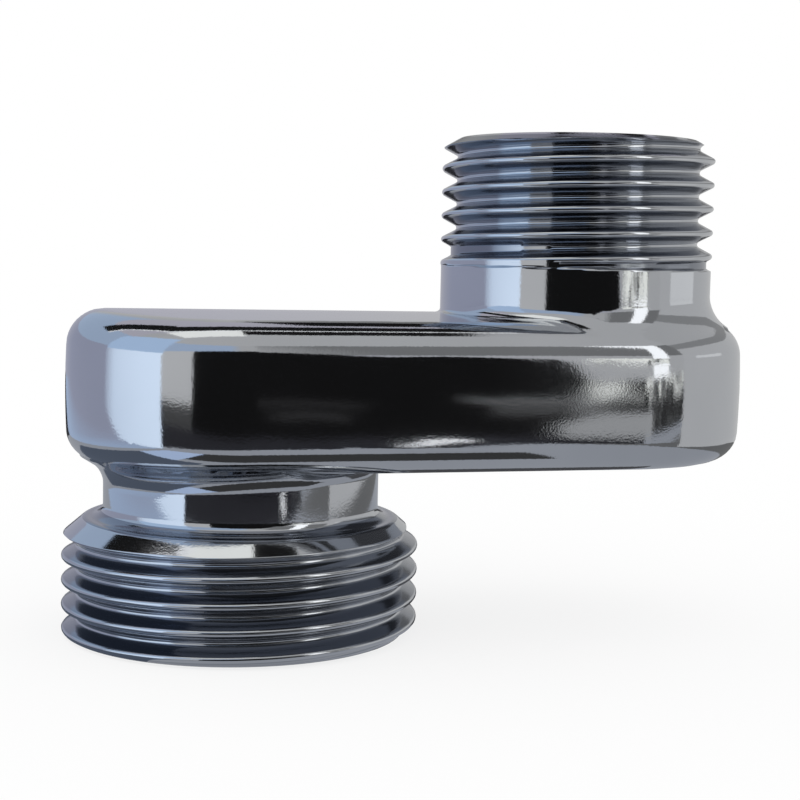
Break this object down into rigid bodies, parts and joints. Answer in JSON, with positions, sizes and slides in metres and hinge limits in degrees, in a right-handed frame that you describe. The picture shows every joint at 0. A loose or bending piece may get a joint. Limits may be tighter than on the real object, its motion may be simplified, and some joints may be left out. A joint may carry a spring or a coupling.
{
  "type": "eccentric union",
  "caption": "Hollow cast eccentric union: a short rounded bar with a threaded pipe stub on each side, offset from each other, joining a wall pipe to a bath or shower mixer.",
  "frame": {"origin": "on the outlet stub's axis, in the plane of its end face", "axes": "+Z along both stub axes, from the outlet to the inlet; +X from the outlet's axis towards the inlet's; +Y across the bar"},
  "size_m": [0.0522, 0.0264, 0.0372],
  "materials": {
    "chrome_plate": "bright chrome plating over cast and turned brass"
  },
  "bodies": {
    "root": {"fitting_body": "chrome_plate"}
  },
  "joints": []
}
